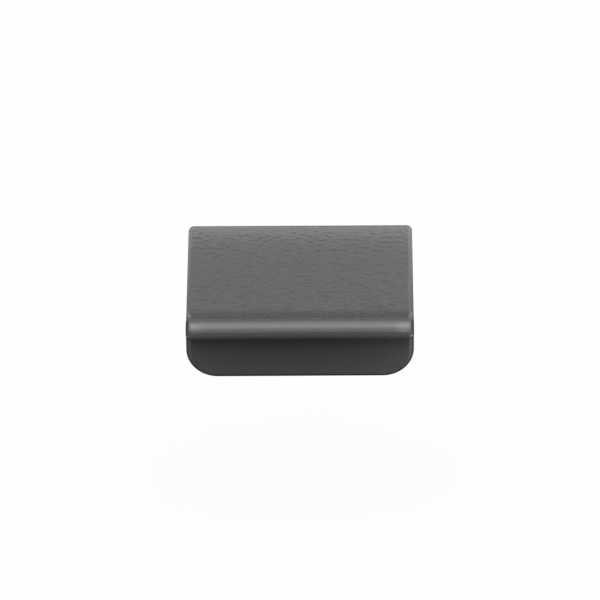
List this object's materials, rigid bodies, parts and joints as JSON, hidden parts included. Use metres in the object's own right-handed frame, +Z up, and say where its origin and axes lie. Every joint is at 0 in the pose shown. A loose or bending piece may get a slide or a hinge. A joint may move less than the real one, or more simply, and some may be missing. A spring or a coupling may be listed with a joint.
{
  "type": "tab pull",
  "caption": "Tab pull for the top edge of a drawer front: a flat plate with a rounded bead and a finger lip in front and a screw flange hidden behind.",
  "frame": {"origin": "midway between the two screw holes, on the face of the flange that meets the back of the drawer front", "axes": "+X along the drawer front, -Y out of the drawer front towards the user, +Z up"},
  "size_m": [0.0382, 0.0356, 0.0174],
  "materials": {
    "black_powder_coat": "matte black powder coat with a fine grain and a faint orange peel"
  },
  "bodies": {
    "root": {"pull_body": "black_powder_coat"}
  },
  "joints": []
}
